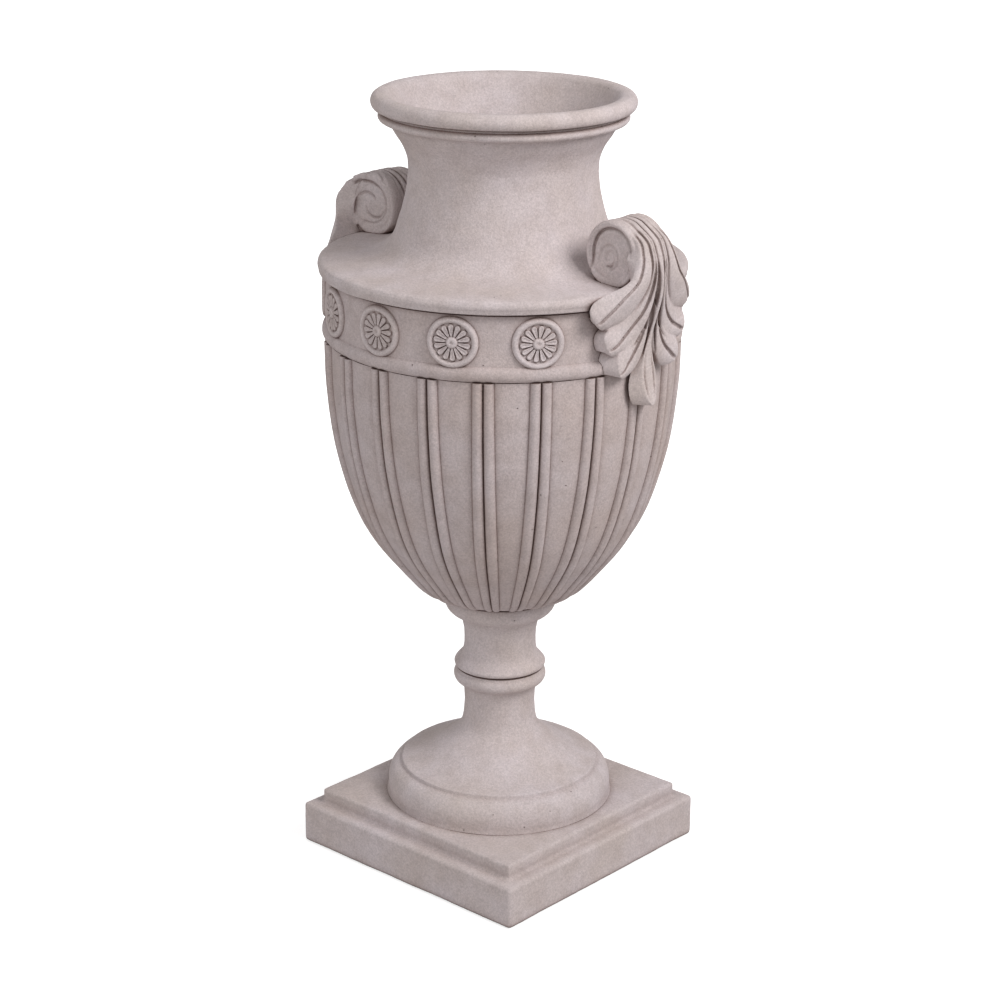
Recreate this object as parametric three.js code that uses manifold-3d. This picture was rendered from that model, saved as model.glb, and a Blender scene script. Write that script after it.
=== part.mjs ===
// Two-handled garden urn in cast stone, after the Greek and Roman volute-handled vases.
// Millimetres, +Z up, origin at the centre of the plinth's underside, handles on the X axis.
// Four castings stand on each other on thin mortar beds and are drawn together by a tie rod:
// plinth, stem, bowl and neck. Two handles are pinned on and ten rosettes are let into the band.

import * as THREE from 'three';
import { mergeVertices } from 'three/addons/utils/BufferGeometryUtils.js';
import Module from 'manifold-3d';

const wasm = await Module();
wasm.setup();

// Driving dimensions
const GAP = 0.3; // clearance between pieces that touch
const BED = 1.6; // thickness of a mortar bed
const PLINTH_W = 330; // lower slab, side to side
const PLINTH_STEP = 16.5; // how far the upper slab stands in
const SLAB_H = 50;
const STEP_H = 17.5;
const FOOT_R = 131.7;
const FOOT_H = 38.6; // ovolo and fillet of the foot
const STEM_R = 41;
const STEM_H = 246.3; // foot, stem, knop and collar together
const COLLAR_R = 65;
const BOWL_R = 196.5; // panels of the bowl at their widest, and the band
const REED_Z = 308; // height of the reeded part
const BAND_H = 73.4; // bead and band above the reeds
const WALL = 21; // wall of the bowl
const SHOULDER_OUT = 9.8; // how far the shoulder's edge stands out over the band
const NECK_R = 105;
const RIM_R = 146.3;
const NECK_H = 198.2;
const ROD_R = 8;
const REED_PAIRS = 20;
const REED_H = 4;
const ROSETTES_PER_SIDE = 5;
const ROSETTE_R = 25.5;
const ROSETTE_SPACING = 26.4; // degrees
const ROSETTE_PROUD = 4.2; // face of the rosette's ring above the band
const PETALS = 14;
const ROLL_R = 37; // volute roll of a handle
const ROLL_HALF = 29;

// Levels and sizes that follow
const PLINTH_TOP = SLAB_H + STEP_H;
const JOINT = BED + 2 * GAP;
const STEM_Z = PLINTH_TOP + JOINT;
const BOWL_Z = STEM_Z + STEM_H + JOINT;
const SHOULDER_R = BOWL_R + SHOULDER_OUT;
const BEAD_Z = BOWL_Z + REED_Z;
const BOWL_TOP = BEAD_Z + BAND_H;
const NECK_Z = BOWL_TOP + JOINT;
const RIM_Z = NECK_Z + NECK_H;
const BORE_R = ROD_R + 1;
const SPIGOT_H = 15; // ring under the neck that centres it in the bowl
const SEAT_R = BOWL_R - WALL; // inside of the bowl at that ring
const FLOOR_T = 27; // floor of the bowl at the tie rod
const BODY_SEGMENTS = 28;

const stone = (name, color) => new THREE.MeshStandardMaterial({ name, color, roughness: 0.92, metalness: 0 });
const castStone = stone('cast_stone', 0xb9aeac);
const castStoneDark = stone('cast_stone_washed', 0xaaa09c);
const mortar = stone('bedding_mortar', 0x8d8680);
const steel = new THREE.MeshStandardMaterial({
  name: 'stainless_steel',
  color: 0xb4b6b8,
  roughness: 0.4,
  metalness: 1,
});

// Closed, merged and facing outwards, ready for joining or cutting
function closed(geometry) {
  const plain = geometry.index ? geometry : mergeVertices(geometry);
  plain.deleteAttribute('normal');
  plain.deleteAttribute('uv');
  const merged = mergeVertices(plain, 1e-3);
  const corners = merged.index.array;
  const place = merged.attributes.position;
  const kept = [];
  const a = new THREE.Vector3();
  const b = new THREE.Vector3();
  const c = new THREE.Vector3();
  let volume = 0;
  for (let i = 0; i < corners.length; i += 3) {
    const [p, q, r] = [corners[i], corners[i + 1], corners[i + 2]];
    if (p === q || q === r || r === p) continue;
    kept.push(p, q, r);
    a.fromBufferAttribute(place, p);
    b.fromBufferAttribute(place, q);
    c.fromBufferAttribute(place, r);
    volume += a.dot(b.cross(c));
  }
  if (volume < 0) kept.reverse();
  merged.setIndex(kept);
  return merged;
}

function solid(geometry) {
  const shape = closed(geometry);
  return new wasm.Manifold(new wasm.Mesh({
    numProp: 3,
    vertProperties: Float32Array.from(shape.attributes.position.array),
    triVerts: Uint32Array.from(shape.index.array),
  }));
}

function geometryOf(manifold) {
  const { vertProperties, triVerts } = manifold.getMesh();
  const geometry = new THREE.BufferGeometry();
  geometry.setAttribute('position', new THREE.BufferAttribute(Float32Array.from(vertProperties), 3));
  geometry.setIndex(new THREE.BufferAttribute(Uint32Array.from(triVerts), 1));
  geometry.computeVertexNormals();
  return geometry;
}

const v2 = (x, y) => new THREE.Vector2(x, y);
const v3 = (x, y, z) => new THREE.Vector3(x, y, z);
const curveThrough = (pairs, count) => new THREE.SplineCurve(pairs.map(([x, y]) => v2(x, y))).getPoints(count);

// Part of an ellipse, in an outline of radius and height
function arc(centreR, centreZ, radiusR, radiusZ, fromDeg, toDeg, count) {
  const points = [];
  for (let i = 0; i <= count; i += 1) {
    const angle = THREE.MathUtils.degToRad(fromDeg + ((toDeg - fromDeg) * i) / count);
    points.push(v2(centreR + radiusR * Math.cos(angle), centreZ + radiusZ * Math.sin(angle)));
  }
  return points;
}

// Solid of revolution about Z from an outline of radius and height that closes on itself
function turned(outline, segments = BODY_SEGMENTS) {
  const loop = outline.some((point) => point.x < 1e-6) ? outline : [...outline, outline[0]];
  return new THREE.LatheGeometry(loop, segments).rotateX(Math.PI / 2);
}

const ring = (inner, outer, low, high, segments = BODY_SEGMENTS) =>
  turned([v2(inner, low), v2(outer, low), v2(outer, high), v2(inner, high)], segments);

const rod = (radius, low, high, segments = 20) =>
  new THREE.CylinderGeometry(radius, radius, high - low, segments).rotateX(Math.PI / 2).translate(0, 0, (low + high) / 2);

// Skin through a row of equal point loops, closed at both ends
function loft(loops) {
  const size = loops[0].length;
  const points = loops.flat();
  const index = [];
  for (let i = 0; i + 1 < loops.length; i += 1) {
    for (let j = 0; j < size; j += 1) {
      const [a, b] = [i * size + j, i * size + ((j + 1) % size)];
      index.push(a, b, b + size, a, b + size, a + size);
    }
  }
  for (const [start, flip] of [[0, true], [(loops.length - 1) * size, false]]) {
    const centre = points.length;
    const middle = v3(0, 0, 0);
    for (let j = 0; j < size; j += 1) middle.add(points[start + j]);
    points.push(middle.divideScalar(size));
    for (let j = 0; j < size; j += 1) {
      const [a, b] = [start + j, start + ((j + 1) % size)];
      if (flip) index.push(b, a, centre);
      else index.push(a, b, centre);
    }
  }
  const geometry = new THREE.BufferGeometry().setFromPoints(points);
  geometry.setIndex(index);
  return geometry;
}

// Outlines of the outside, bottom to top
const stemOutline = () => {
  const topR = FOOT_R - 17;
  const sweep = [[1, FOOT_H], [0.8, 43.8], [0.58, 52], [0.38, 62.5], [0.2, 72], [0.08, 80.5], [0.025, 92], [0, 112]];
  return [
    ...arc(FOOT_R - 22, 10.5, 22, 10.5, -62, 0, 1),
    ...arc(FOOT_R - 17, 10.5, 17, 24, 30, 88, 2),
    v2(topR + 0.4, FOOT_H - 3.8),
    ...curveThrough(sweep.map(([part, z]) => [STEM_R + part * (topR - STEM_R), z]), 5),
    v2(STEM_R + 3.6, 134.8),
    ...arc(STEM_R + 4, 146, 9, 9.6, -62, 62, 3),
    v2(STEM_R + 9, 156.2),
    ...curveThrough([[12, 159], [11.7, 163], [7, 168.6], [3, 173.5], [1, 182]].map(([r, z]) => [STEM_R + r, z]), 3),
    v2(STEM_R + 2.4, 209),
    v2(STEM_R + 6, 220.5),
    ...arc(COLLAR_R - 16, STEM_H - 6, 16, 17.5, -75, 0, 2),
    v2(COLLAR_R - 0.6, STEM_H),
  ].map((point) => v2(point.x, point.y + STEM_Z));
};

const bowlCurve = (count) =>
  curveThrough([
    [0.335, 0], [0.45, 0.03], [0.553, 0.093], [0.733, 0.24], [0.848, 0.385], [0.944, 0.6], [0.99, 0.82], [1, 1],
  ].map(([r, z]) => [r * BOWL_R, BOWL_Z + z * REED_Z]), count);

const bandOutline = (grow = 0) => [
  v2(BOWL_R - 6, BEAD_Z),
  ...arc(BOWL_R - 2.3 + grow, BEAD_Z + 9.5, 8, 9.5, -70, 50, 3),
  v2(BOWL_R + 1 + grow, BEAD_Z + 20.5),
  v2(BOWL_R + 0.4 + grow, BOWL_TOP),
];

const neckOutline = () => {
  const sweep = [[203.5, 14.6], [194, 16.6], [176, 19.6], [157, 25], [140, 32.5], [124, 46.5], [113.6, 68], [107.2, 90], [105, 112]];
  const spread = (SHOULDER_R - NECK_R) / (206.3 - 105);
  const flare = (RIM_R - NECK_R) / (146.3 - 105);
  return [
    v2(SHOULDER_R - 1.5, 0),
    ...arc(SHOULDER_R - 5, 9, 5, 6, -40, 50, 2),
    ...curveThrough(sweep.map(([r, z]) => [NECK_R + (r - 105) * spread, z]), 7),
    ...curveThrough([[1.2, 128], [6.6, 142], [14.5, 154], [22, 165.5]].map(([r, z]) => [NECK_R + r * flare, z]), 2),
    ...arc(NECK_R + 27 * flare, 173, 6.8, 5.6, -70, 70, 2),
    v2(NECK_R + 30 * flare, 179.6),
    ...arc(RIM_R - 9, 189, 9, 9.2, -50, 90, 3),
  ].map((point) => v2(point.x, point.y + NECK_Z));
};

// Plinth: two square slabs with softened edges, a bore and a nut recess underneath
const NUT_RECESS_R = 24;
const NUT_RECESS_H = 24;

function slab(half, low, high, soften) {
  const inner = half - soften;
  const square = new THREE.Shape([v2(-inner, -inner), v2(inner, -inner), v2(inner, inner), v2(-inner, inner)]);
  return new THREE.ExtrudeGeometry(square, {
    depth: high - low - 2 * soften,
    bevelEnabled: true,
    bevelSize: soften,
    bevelThickness: soften,
    bevelSegments: 2,
  }).translate(0, 0, low + soften);
}

function plinth() {
  const half = PLINTH_W / 2;
  const lower = solid(slab(half, 0, SLAB_H, 4));
  const upper = solid(slab(half - PLINTH_STEP, SLAB_H - 12, PLINTH_TOP, 2));
  return geometryOf(lower
    .add(upper)
    .subtract(solid(rod(BORE_R, -1, PLINTH_TOP + 1)))
    .subtract(solid(rod(NUT_RECESS_R, -1, NUT_RECESS_H, 28))));
}

const stem = () => closed(turned([...stemOutline(), v2(BORE_R, STEM_Z + STEM_H), v2(BORE_R, STEM_Z)], 24));

// Places round the urn in a reed pitch, in degrees from the middle of a pair, with the height there
const REED_POINTS = [
  [-3.45, 0], [-1.75, 1], [0, 0.1], [1.75, 1], [3.45, 0],
];

function reededSkin() {
  const pitch = 360 / REED_PAIRS;
  const count = REED_POINTS.length;
  const segments = REED_PAIRS * count;
  const outline = [v2(0, BOWL_Z), ...bowlCurve(6), v2(BOWL_R - 10, BEAD_Z + 0.5), v2(0, BEAD_Z + 0.5)];
  const skin = turned(outline, segments);
  const place = skin.attributes.position;
  for (let i = 0; i < place.count; i += 1) {
    const radius = Math.hypot(place.getX(i), place.getY(i));
    const turn = (Math.atan2(place.getY(i), place.getX(i)) + 2 * Math.PI) % (2 * Math.PI);
    const step = Math.round((turn / (2 * Math.PI)) * segments) % segments;
    const [degrees, height] = REED_POINTS[step % count];
    const angle = THREE.MathUtils.degToRad(Math.floor(step / count) * pitch + degrees);
    const onSkin = radius > 0.3 * BOWL_R ? height * REED_H * (radius / BOWL_R) : 0;
    place.setX(i, (radius + onSkin) * Math.cos(angle));
    place.setY(i, (radius + onSkin) * Math.sin(angle));
  }
  return skin;
}

const cavityOutline = () => [
  v2(0, BOWL_Z + FLOOR_T),
  v2(38, BOWL_Z + FLOOR_T),
  ...bowlCurve(5).slice(1).map((point) => v2(point.x - WALL - 3, point.y + 12)),
    v2(SEAT_R, BOWL_TOP - SPIGOT_H - 2),
  v2(SEAT_R, BOWL_TOP + 1),
  v2(0, BOWL_TOP + 1),
];

// Azimuths of the rosettes: five on each long side, the middle one square to the handles
function rosetteAngles() {
  const angles = [];
  for (const side of [-90, 90]) {
    for (let i = 0; i < ROSETTES_PER_SIDE; i += 1) {
      angles.push(side + (i - (ROSETTES_PER_SIDE - 1) / 2) * ROSETTE_SPACING);
    }
  }
  return angles;
}

const ROSETTE_Z = BEAD_Z + 0.59 * BAND_H;
const POCKET = 3.2; // depth of a rosette's pocket below the band
const POCKET_SIDES = 10;
const radial = (geometry, degrees, radius, z) =>
  geometry.rotateY(Math.PI / 2).translate(radius, 0, z).rotateZ(THREE.MathUtils.degToRad(degrees));

function bowl() {
  const band = turned([v2(BOWL_R - 20, BEAD_Z), ...bandOutline(), v2(BOWL_R - 20, BOWL_TOP)]);
  let body = solid(reededSkin())
    .add(solid(band))
    .add(solid(rod(BOWL_R - 12, BEAD_Z, BOWL_TOP, BODY_SEGMENTS)))
    .subtract(solid(turned(cavityOutline())))
    .subtract(solid(rod(BORE_R, BOWL_Z - 5, BOWL_Z + FLOOR_T + 5)));
  for (const degrees of rosetteAngles()) {
    const cutter = rod((ROSETTE_R + GAP) / Math.cos(Math.PI / POCKET_SIDES), -10, 10, POCKET_SIDES);
    body = body.subtract(solid(radial(cutter, degrees, BOWL_R - POCKET + 10, ROSETTE_Z)));
  }
  for (const turn of [0, Math.PI]) body = body.subtract(solid(lowerDowel(GAP).rotateZ(turn)));
  return geometryOf(body);
}

// Rosette: a raised ring round a dished field of petals, with a dimpled button
function rosette() {
  const top = POCKET + ROSETTE_PROUD;
  const dish = ROSETTE_R - 6.4;
  const outline = [v2(0, 0), v2(ROSETTE_R, 0), v2(ROSETTE_R - 2, top), v2(dish, top - 1.2), v2(0, top - 0.4)];
  const disc = turned(outline, 2 * PETALS);
  const place = disc.attributes.position;
  for (let i = 0; i < place.count; i += 1) {
    const radius = Math.hypot(place.getX(i), place.getY(i));
    const step = Math.round((Math.atan2(place.getY(i), place.getX(i)) / Math.PI) * PETALS);
    const onPetal = Math.abs(radius - dish) < 0.5;
    if (onPetal && step % 2 !== 0) place.setZ(i, place.getZ(i) - 2.4);
  }
  return closed(disc);
}

function neck() {
  const inside = [
    v2(RIM_R - 20, RIM_Z - 1.8),
    ...curveThrough([[22, 190], [7, 165], [-12, 137], [-19, 108], [-15, 84], [-4, 61], [10, 39.3], [29, 23.6], [54, 12.2]]
      .map(([r, z]) => [NECK_R + r, NECK_Z + z]), 7),
    v2(SEAT_R - 10, NECK_Z + 6),
    v2(SEAT_R - 10, NECK_Z - SPIGOT_H),
    v2(SEAT_R - GAP - 0.3, NECK_Z - SPIGOT_H),
    v2(SEAT_R - GAP - 0.3, NECK_Z),
  ];
  let body = solid(turned([...neckOutline(), ...inside]));
  for (const turn of [0, Math.PI]) body = body.subtract(solid(upperDowel(GAP).rotateZ(turn)));
  return geometryOf(body);
}

// Handle pins: one stands in the shoulder, one lies in the band
const DOWEL_R = 4;
const UPPER_DOWEL_X = SHOULDER_R - 16;
const LOWER_DOWEL_Z = BEAD_Z + 0.5 * BAND_H;
const upperDowel = (grow = 0) =>
  rod(DOWEL_R + grow, NECK_Z + 3 - grow, NECK_Z + 44 + grow, 12).translate(UPPER_DOWEL_X, 0, 0);
const lowerDowel = (grow = 0) =>
  rod(DOWEL_R + grow, BOWL_R - 14 - grow, BOWL_R + 7 + grow, 12).rotateY(Math.PI / 2).translate(0, 0, LOWER_DOWEL_Z);

// Handle: a leaf in seven ribs rolls over a volute and falls over the shoulder's edge in seven lobes.
// The leaf is drawn with the roll's middle at x 177, z 752, for a roll of 37 mm
const ROLL_X = SHOULDER_R - 29.3;
const ROLL_Z = NECK_Z + 1.355 * ROLL_R;
const onLeaf = ([x, y, z]) => {
  const scale = ROLL_R / 37;
  return v3(ROLL_X + (x - 177) * scale, y * scale, ROLL_Z + (z - 752) * scale);
};

// Strip over the roll, from the neck's side to where the lobes part: degrees, and out from the roll's middle
const STRIP = [[238, 35.6], [200, 37.2], [162, 38.2], [126, 39], [92, 38.4], [60, 38.6], [36, 39.4], [12, 39.8]];
const STRIP_GROOVES = [4.6, 12.6, 19.6, 26.3];
const RIB_PROUD = 2.4;

const strip = () => loft(STRIP.map(([degrees, out]) => {
  const angle = THREE.MathUtils.degToRad(degrees);
  const at = (y, radius) => onLeaf([177 + 0.96 * radius * Math.cos(angle), y, 752 + radius * Math.sin(angle)]);
  const points = [];
  STRIP_GROOVES.slice().reverse().forEach((y, k, all) => {
    points.push(at(y, out - RIB_PROUD), at((y + (all[k + 1] ?? -y)) / 2, out));
  });
  const half = points.map((point) => v3(point.x, -point.y, point.z)).reverse();
  const edge = STRIP_GROOVES[3];
  return [...points, ...half.slice(1), at(-edge, out - 9), at(edge, out - 9)];
}));

// Rows of a lobe on the +Y side, from the roll to its tip. Each row gives the outer edge, the groove,
// the inner edge, and how far the wall behind the face goes in
const TOP_LOBE = {
  lift: 0.14,
  flare: -0.75,
  rows: [
    [[205, 25.6, 769], [209, 20.4, 768], [211, 12.9, 768], 10],
    [[216, 32, 748], [221, 26.7, 746], [223, 13.4, 743], 17],
    [[215, 43, 731], [221.8, 35.5, 730], [220.4, 16.5, 720], 24],
    [[207, 56, 723], [218, 48.5, 717.5], [214.5, 26, 702], 25],
    [[198.5, 72.5, 715], [210.5, 63.5, 702], [206.5, 43, 686.5], 25],
    [[195.4, 81.6, 704.6], [204, 73, 692.5], [200.5, 57.5, 681.2], 25],
    [[197, 79, 694], [200.6, 75.4, 689.6], [199.6, 69, 684.4], 25],
  ],
};
const SECOND_LOBE = {
  lift: 0.16,
  flare: 0,
  rows: [
    [[210, 13.6, 768], [211, 8.8, 768], [211, 4.2, 768], 10],
    [[221.5, 14, 742], [223.5, 8.8, 742], [224.5, 4.2, 742], 16],
    [[215, 25, 714], [220.6, 12.6, 711], [223, 5.6, 709], 22],
    [[207.5, 42, 695], [213, 25, 686.5], [213.4, 12.2, 677], 22],
    [[203.8, 58, 683], [209.8, 42, 670], [207.4, 28.5, 657], 22],
    [[203.8, 67, 673.5], [209.3, 56.5, 662.3], [204.8, 47, 651.2], 22],
    [[206, 65.4, 663.6], [208, 61.8, 659.6], [206.6, 57.6, 654.2], 22],
  ],
};
const THIRD_LOBE = {
  lift: 0.12,
  flare: 0.35,
  rows: [
    [[214, 12, 725], [216, 8, 723], [218, 4, 721], 18],
    [[208.5, 24, 684], [213.5, 13.6, 674], [214, 6, 668], 22],
    [[206.5, 42, 661.5], [210.3, 28, 647.5], [208, 14.6, 638], 22],
    [[209.4, 51, 646], [210.8, 41, 634.6], [204.4, 30, 624.8], 22],
    [[210.8, 49.8, 635], [211, 46.8, 631], [208.4, 42, 626.6], 22],
  ],
};
const MIDDLE_LOBE = {
  lift: 0.12,
  flare: 0.5,
  rows: [
    [[211, 4.8, 768], [212.6, 0, 768], [211, -4.8, 768], 12],
    [[226, 4.4, 741], [228, 0, 741], [226, -4.4, 741], 17],
    [[221.6, 3.8, 712], [223.6, 0, 712], [221.6, -3.8, 712], 20],
    [[211.4, 4.8, 680], [212.4, 0, 680], [211.4, -4.8, 680], 20],
    [[205.6, 11.6, 642], [204.2, 0, 642], [205.6, -11.6, 642], 20],
    [[205.4, 14.2, 614], [204, 0, 614], [205.4, -14.2, 614], 20],
    [[210.5, 12.4, 595], [210, 0, 594.4], [210.5, -12.4, 595], 20],
    [[216.8, 3, 587.6], [216.8, 0, 587], [216.8, -3, 587.6], 20],
  ],
};

// Section of a lobe: a rounded rib on each side of the groove, and the walls behind the two edges
const lobe = ({ rows, lift, flare }, side) => loft(rows.map(([outer, groove, inner, depth], i) => {
  const [a, b, c] = [outer, groove, inner].map(onLeaf);
  const along = onLeaf(rows[Math.min(i + 1, rows.length - 1)][1]).sub(onLeaf(rows[Math.max(i - 1, 0)][1]));
  const face = v3(0, 0, 0).crossVectors(along, c.clone().sub(a)).normalize().negate();
  const rib = (from, to) => from.clone().add(to).multiplyScalar(0.5)
    .addScaledVector(face, lift * from.distanceTo(to));
  const middle = v3(ROLL_X - b.x, 0, ROLL_Z - b.z).normalize();
  const fall = Math.min(1, Math.max(0, (ROLL_Z + 3 - b.z) / 25));
  const inwards = middle.multiplyScalar(1 - fall).addScaledVector(v3(-0.85, 0, -0.2), fall);
  const behind = (point) => {
    if (flare < 0) return point.clone().addScaledVector(v3(-0.6, flare, -0.35), depth);
    return point.clone().addScaledVector(inwards, depth)
      .add(v3(0, Math.sign(point.y - b.y) * flare * depth * fall, 0));
  };
  const points = [a, rib(a, b), b, rib(b, c), c, behind(c), behind(a)];
  return points.map((point) => v3(point.x, side * point.y, point.z));
}));

// Volute: a roll with a raised rim and a spiral ridge in the hollow of each face
const FACE_SINK = 4.5;
const RIM_W = 7;

function volute() {
  const half = ROLL_HALF - 1.5;
  const low = ROLL_R - 1.5 - RIM_W;
  const face = [v2(0, FACE_SINK - half), v2(low, FACE_SINK - half), v2(low + 2, -half), v2(ROLL_R - 1.5, 1.5 - half)];
  const lower = [...face, v2(ROLL_R - 4.5, 8 - half)];
  const back = lower.map((point) => v2(point.x, -point.y)).reverse();
  return turned([...lower, ...back], 14).scale(0.96, 1.04, 1);
}

function spiral(height) {
  const turns = 1.1;
  const samples = 8;
  const outer = [];
  const inner = [];
  for (let i = 0; i <= samples; i += 1) {
    const part = i / samples;
    const angle = 0.1 * Math.PI + part * turns * 2 * Math.PI;
    const radius = (ROLL_R - RIM_W - 2) * (1 - 0.62 * part);
    const width = 6.5 - 3 * part;
    outer.push(v2(radius * Math.cos(angle), radius * Math.sin(angle)));
    inner.push(v2((radius - width) * Math.cos(angle), (radius - width) * Math.sin(angle)));
  }
  const band = new THREE.Shape([...outer, ...inner.reverse()]);
  return new THREE.ExtrudeGeometry(band, { depth: height, bevelEnabled: false });
}

function bodyEnvelope() {
  const lower = [v2(0, BOWL_Z), ...bowlCurve(6).map((point) => v2(point.x + REED_H + 1.6, point.y))];
  const middle = bandOutline(0.6).slice(1);
  const upper = neckOutline().map((point) => v2(point.x + 0.6, point.y));
  return turned([...lower, ...middle, ...upper, v2(0, RIM_Z)]);
}

function handle() {
  const place = (geometry) => solid(geometry.rotateX(Math.PI / 2).translate(ROLL_X, 0, ROLL_Z));
  const flank = loft([[698, 26, 205], [716, 26, 211], [734, 25, 215], [756, 22, 213]].map(([z, half, out]) => [
    onLeaf([160, -half, z]),
    onLeaf([out - 5, -half, z]),
    onLeaf([out, 5 - half, z]),
    onLeaf([out, half - 5, z]),
    onLeaf([out - 5, half, z]),
    onLeaf([160, half, z]),
  ]));
  let body = place(volute()).add(solid(flank)).add(solid(strip())).add(solid(lobe(MIDDLE_LOBE, 1)));
  const seat = ROLL_HALF - 1.5 - FACE_SINK;
  for (const side of [-1, 1]) {
    for (const shape of [TOP_LOBE, SECOND_LOBE, THIRD_LOBE]) body = body.add(solid(lobe(shape, side)));
    body = body.add(place(spiral(3).translate(0, 0, side > 0 ? seat - 1 : -seat - 2)));
  }
  body = body.add(place(rod(6.5, -seat - 2, seat + 2, 8)));
  return geometryOf(body
    .subtract(solid(bodyEnvelope()))
    .subtract(solid(upperDowel(GAP)))
    .subtract(solid(lowerDowel(GAP)))
    .simplify(0.9));
}

// Tie rod with a washer and a nut at each end
const NUT_H = 13;
const WASHER_T = 3;
const LOW_WASHER = NUT_RECESS_H - GAP - WASHER_T;
const HIGH_WASHER = BOWL_Z + FLOOR_T + GAP;
const LOW_NUT = LOW_WASHER - GAP - NUT_H;
const HIGH_NUT = HIGH_WASHER + WASHER_T + GAP;
const tieRod = () => closed(rod(ROD_R, LOW_NUT - 2, HIGH_NUT + NUT_H + 5, 12));
const washer = (low) => closed(ring(ROD_R + 2 * GAP, 2.1 * ROD_R, low, low + WASHER_T, 12));

function nut(low) {
  const hexagon = new THREE.CylinderGeometry(13.8, 13.8, NUT_H, 6).rotateX(Math.PI / 2);
  const body = solid(hexagon.translate(0, 0, low + NUT_H / 2));
  return geometryOf(body.subtract(solid(rod(ROD_R + 2 * GAP, low - 1, low + NUT_H + 1, 12))));
}

const urn = new THREE.Group();
urn.name = 'urn';

function piece(name, geometry, material, parent = urn) {
  const mesh = new THREE.Mesh(geometry, material);
  mesh.name = name;
  parent.add(mesh);
  return mesh;
}

piece('plinth', plinth(), castStone);
piece('foot_mortar_bed', closed(ring(BORE_R + 3, FOOT_R - 14, PLINTH_TOP + GAP, PLINTH_TOP + GAP + BED, 18)), mortar);
piece('stem', stem(), castStone);
const bowlBedZ = STEM_Z + STEM_H + GAP;
piece('bowl_mortar_bed', closed(ring(BORE_R + 3, COLLAR_R - 3, bowlBedZ, bowlBedZ + BED, 18)), mortar);
piece('bowl', bowl(), castStoneDark);
piece('neck_mortar_bed', closed(ring(SEAT_R + 2, BOWL_R - 4, BOWL_TOP + GAP, BOWL_TOP + GAP + BED, 20)), mortar);
piece('neck', neck(), castStone);

rosetteAngles().forEach((degrees, i) => {
  const medallion = piece(`rosette_${String(i + 1).padStart(2, '0')}`, rosette(), castStone);
  medallion.rotation.set(0, Math.PI / 2, 0);
  const turning = new THREE.Group();
  medallion.position.set(BOWL_R - POCKET + GAP, 0, ROSETTE_Z);
  turning.rotation.z = THREE.MathUtils.degToRad(degrees);
  turning.add(medallion);
  urn.add(turning);
});

for (const [name, turn] of [['right', 0], ['left', Math.PI]]) {
  const side = new THREE.Group();
  side.rotation.z = turn;
  urn.add(side);
  piece(`handle_${name}`, handle(), castStone, side);
  piece(`dowel_${name}_upper`, closed(upperDowel()), steel, side);
  piece(`dowel_${name}_lower`, closed(lowerDowel()), steel, side);
}

piece('tie_rod', tieRod(), steel);
piece('tie_washer_bottom', washer(LOW_WASHER), steel);
piece('tie_nut_bottom', nut(LOW_NUT), steel);
piece('tie_washer_top', washer(HIGH_WASHER), steel);
piece('tie_nut_top', nut(HIGH_NUT), steel);

export default urn;
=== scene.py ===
# Looks of the cast-stone urn: fine castings, leaf handles and rosettes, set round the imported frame.
# Lengths in the tables are millimetres, in the frame of the part.
import math

import bpy
import numpy as np
from mathutils import Matrix, Vector, noise, kdtree


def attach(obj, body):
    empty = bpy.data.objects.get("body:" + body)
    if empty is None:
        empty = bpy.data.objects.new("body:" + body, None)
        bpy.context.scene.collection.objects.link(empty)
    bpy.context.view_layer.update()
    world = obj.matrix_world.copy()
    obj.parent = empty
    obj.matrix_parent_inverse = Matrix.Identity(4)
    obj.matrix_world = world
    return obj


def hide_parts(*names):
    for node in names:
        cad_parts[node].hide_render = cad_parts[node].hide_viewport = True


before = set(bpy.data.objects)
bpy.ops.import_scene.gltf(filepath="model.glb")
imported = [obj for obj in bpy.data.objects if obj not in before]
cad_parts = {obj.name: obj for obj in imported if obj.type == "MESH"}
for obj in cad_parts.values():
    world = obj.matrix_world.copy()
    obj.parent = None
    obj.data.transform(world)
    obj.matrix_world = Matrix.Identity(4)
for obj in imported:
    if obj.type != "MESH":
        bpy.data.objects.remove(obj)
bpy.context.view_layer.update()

MM = 0.001


# ---------------------------------------------------------------- camera, light and floor

AZIMUTH = math.radians(41.79)
PITCH = math.radians(19.083)
ROLL = math.radians(0.427)
CAMERA_AT = Vector((1.84965, -2.07118, 1.38940))
LENS = 91.95  # millimetres on a 36 mm sensor


def add_camera():
    back = Vector((math.sin(AZIMUTH) * math.cos(PITCH), -math.cos(AZIMUTH) * math.cos(PITCH), math.sin(PITCH)))
    level = Vector((math.cos(AZIMUTH), math.sin(AZIMUTH), 0))
    above = back.cross(level)
    right = math.cos(ROLL) * level + math.sin(ROLL) * above
    up = -math.sin(ROLL) * level + math.cos(ROLL) * above
    bpy.ops.object.camera_add()
    camera = bpy.context.object
    camera.name = "camera"
    camera.data.lens = LENS
    camera.data.sensor_width = 36
    turn = Matrix((right, up, back)).transposed().to_4x4()
    camera.matrix_world = Matrix.Translation(CAMERA_AT) @ turn
    bpy.context.scene.camera = camera


def add_lamp(name, azimuth, elevation, distance, size, power, hue):
    """A soft box that looks at the middle of the urn"""
    aim = Vector((0, 0, 0.5))
    a, e = math.radians(azimuth), math.radians(elevation)
    out = Vector((math.cos(a) * math.cos(e), math.sin(a) * math.cos(e), math.sin(e)))
    bpy.ops.object.light_add(type="AREA", location=aim + distance * out)
    lamp = bpy.context.object
    lamp.name = name
    lamp.data.shape = "DISK"
    lamp.data.size = size
    lamp.data.energy = power
    lamp.data.color = hue
    lamp.rotation_mode = "QUATERNION"
    lamp.rotation_quaternion = out.to_track_quat("Z", "Y")


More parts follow.
